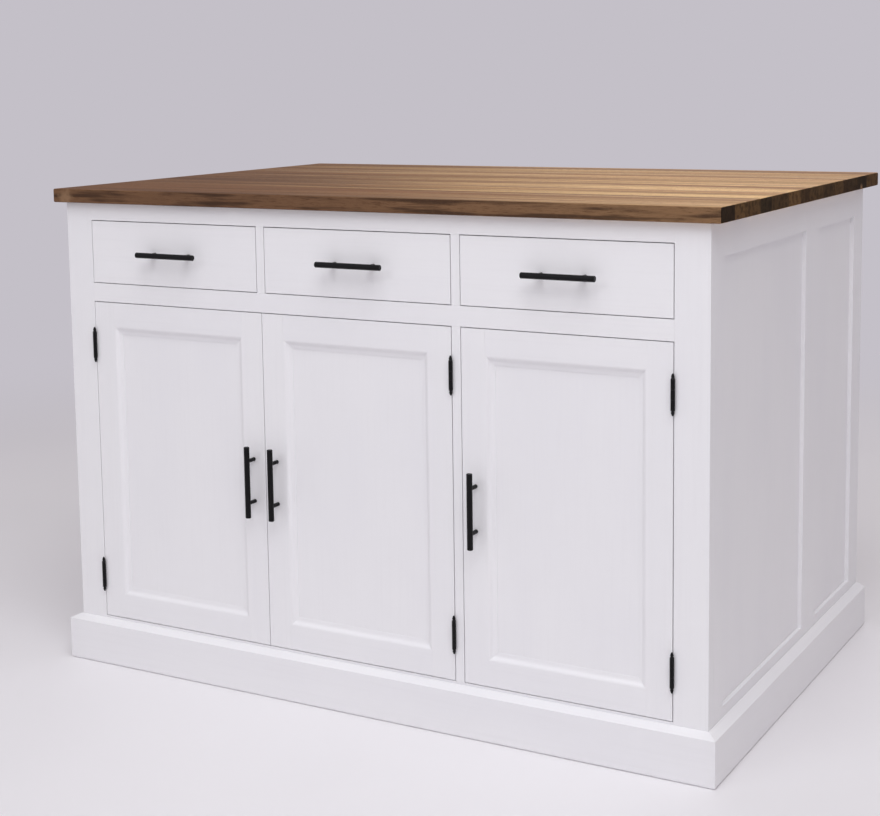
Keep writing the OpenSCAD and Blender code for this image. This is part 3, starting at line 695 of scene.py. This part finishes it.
def pale_floor():
    made, tree, shader = start_material("painted_floor", 0.55)
    place = add(tree, "ShaderNodeTexCoord").outputs["Object"]
    worn = streaks(tree, place, 700, 700, 0.4, 0.7, 0.5)
    tree.links.new(layers(tree, FLOOR_COLOUR, (worn, "#ECEAEC")), shader.inputs["Base Color"])
    away = add(tree, "ShaderNodeVectorMath", {0: place}, operation="LENGTH").outputs["Value"]
    limits = {"Value": away, "From Min": FADE_START, "From Max": FADE_END}
    far = add(tree, "ShaderNodeMapRange", limits, interpolation_type="SMOOTHSTEP")
    fade = add(tree, "ShaderNodeMath", {0: far, 1: seen_directly(tree)}, operation="MULTIPLY")
    wall = add(tree, "ShaderNodeEmission", {"Color": linear(WALL_COLOUR)})
    mixed = add(tree, "ShaderNodeMixShader", {0: fade, 1: shader, 2: wall})
    tree.links.new(mixed.outputs[0], tree.nodes["Material Output"].inputs["Surface"])
    return made


def lay_floor():
    built = bmesh.new()
    bmesh.ops.create_circle(built, cap_ends=True, segments=96, radius=FLOOR_RADIUS)
    mesh = bpy.data.meshes.new("floor")
    built.to_mesh(mesh)
    built.free()
    floor = bpy.data.objects.new("floor", mesh)
    bpy.context.scene.collection.objects.link(floor)
    mesh.materials.append(pale_floor())


lay_floor()
print("floor radius:", FLOOR_RADIUS, "m, fading from", FADE_START, "to", FADE_END, "m")

# %% [markdown]
# ## Light
#
# The studio light is soft: a pale room all round, which the world stands for, and one large panel high
# at the front left. It lies so that the pulls throw faint shadows down and to the right, and the right
# side of the cabinet stays in a soft shade. A second panel, above the front right, brightens what faces
# up and draws a pale line down the frames' inner edges. A weak third one keeps the back from going flat.
# The levels are plain: a white surface in full light renders just below white.

# %% Room light and three panels
ROOM_LIGHT, ROOM_STRENGTH = "#FFF7FA", 0.38
PANEL_SIZE = 3.0  # side of each square panel in metres
PANELS = (  # place, the point that it faces, watts and colour
    ("key_panel", (-2.6, -5.6, 4.0), (0.0, 0.0, 0.5), 52, "#F4FAFF"),
    ("top_panel", (1.35, -2.25, 4.2), (0.3, -0.2, 0.5), 113, "#FAFCFF"),
    ("back_panel", (-1.2, 6.0, 3.3), (0.0, 0.0, 0.5), 26, "#FFFAFC"),
)


def light_room():
    world = bpy.data.worlds.new("studio")
    bpy.context.scene.world = world
    world.use_nodes = True
    tree = world.node_tree
    tree.nodes.clear()
    lit = add(tree, "ShaderNodeBackground", {"Color": linear(ROOM_LIGHT), "Strength": ROOM_STRENGTH})
    seen = add(tree, "ShaderNodeBackground", {"Color": linear(WALL_COLOUR)})
    mixed = add(tree, "ShaderNodeMixShader", {0: seen_directly(tree), 1: lit, 2: seen})
    add(tree, "ShaderNodeOutputWorld", {"Surface": mixed})


def light_panel(name, place, aim, watts, colour):
    """A square panel of light at a place, turned to face a point."""
    data = bpy.data.lights.new(name, "AREA")
    data.shape, data.size = "SQUARE", PANEL_SIZE
    data.energy = watts
    data.color = linear(colour)[:3]
    lamp = bpy.data.objects.new(name, data)
    lamp.location = place
    lamp.rotation_euler = (Vector(aim) - Vector(place)).to_track_quat("-Z", "Y").to_euler()
    bpy.context.scene.collection.objects.link(lamp)


light_room()
for panel in PANELS:
    light_panel(*panel)
print("room strength:", ROOM_STRENGTH, "panels:", [panel[0] for panel in PANELS])

# %% [markdown]
# ## Camera
#
# The camera stands at the front right, a little above the worktop. Its place, turn and focal length were
# fitted to the corners and edges of the cabinet. Its axis passes above the middle of the picture, which
# is a lens shift: it keeps the upright edges more nearly parallel than a camera that is tilted down.

# %% Camera
CAMERA_AT = (1.470, -2.752, 1.097)
YAW, PITCH, ROLL = 29.33, -6.96, -0.80  # in degrees: left turn, tilt and lean
FOCAL_PX = 1642.0  # focal length in pixels of the picture
PICTURE_W, PICTURE_H = 880, 816
AXIS_ROW = 277  # the row that the camera's axis passes through, from the top
SENSOR_MM = 36.0


def place_camera():
    data = bpy.data.cameras.new("camera")
    data.sensor_width = SENSOR_MM
    data.lens = FOCAL_PX / PICTURE_W * SENSOR_MM
    data.shift_y = (AXIS_ROW - PICTURE_H / 2) / PICTURE_W
    camera = bpy.data.objects.new("camera", data)
    turn = Matrix.Rotation(math.radians(YAW), 4, "Z")
    tilt = Matrix.Rotation(math.radians(90 + PITCH), 4, "X")
    lean = Matrix.Rotation(math.radians(ROLL), 4, "Z")
    camera.matrix_world = Matrix.Translation(CAMERA_AT) @ turn @ tilt @ lean
    bpy.context.scene.collection.objects.link(camera)
    bpy.context.scene.camera = camera
    return data


lens = place_camera()
bpy.context.scene.view_settings.view_transform = "Standard"
print(f"lens {lens.lens:.1f} mm, shift {lens.shift_y:.3f}")
